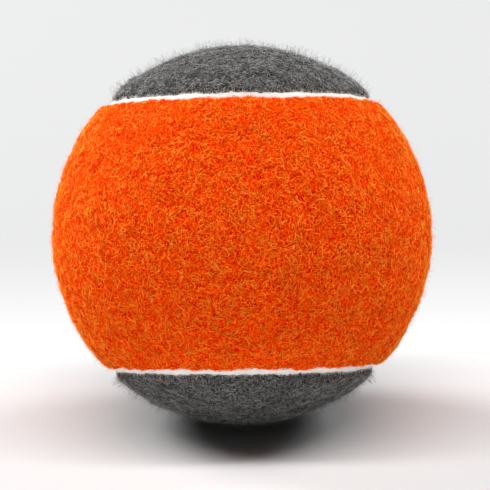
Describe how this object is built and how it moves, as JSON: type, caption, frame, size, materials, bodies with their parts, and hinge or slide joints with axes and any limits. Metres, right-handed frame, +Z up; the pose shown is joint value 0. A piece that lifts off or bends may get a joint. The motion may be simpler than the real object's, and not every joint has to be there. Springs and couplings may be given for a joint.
{
  "type": "tennis ball",
  "caption": "Hollow rubber ball covered with two interlocking dog-bone panels of felt, one orange and one grey, with a pale rubber seam between them.",
  "frame": {"origin": "centre of the small flat that the ball lies on, straight below the ball's centre", "axes": "+Z up, -Y towards the front, where the orange panel's waist faces the viewer, +X to the viewer's right"},
  "size_m": [0.067, 0.067, 0.0666],
  "materials": {
    "core_rubber": "matte",
    "rubber_cement": "satin",
    "scrim_cloth": "matte",
    "orange_felt": "matte",
    "grey_felt": "matte",
    "seam_rubber": "matte"
  },
  "bodies": {
    "root": {"core_upper_half": "core_rubber", "core_lower_half": "core_rubber", "core_joint_cement": "rubber_cement", "core_cement_coat": "rubber_cement", "orange_panel_scrim": "scrim_cloth", "orange_panel_nap": "orange_felt", "grey_panel_scrim": "scrim_cloth", "grey_panel_nap": "grey_felt", "seam_bead": "seam_rubber"}
  },
  "joints": []
}
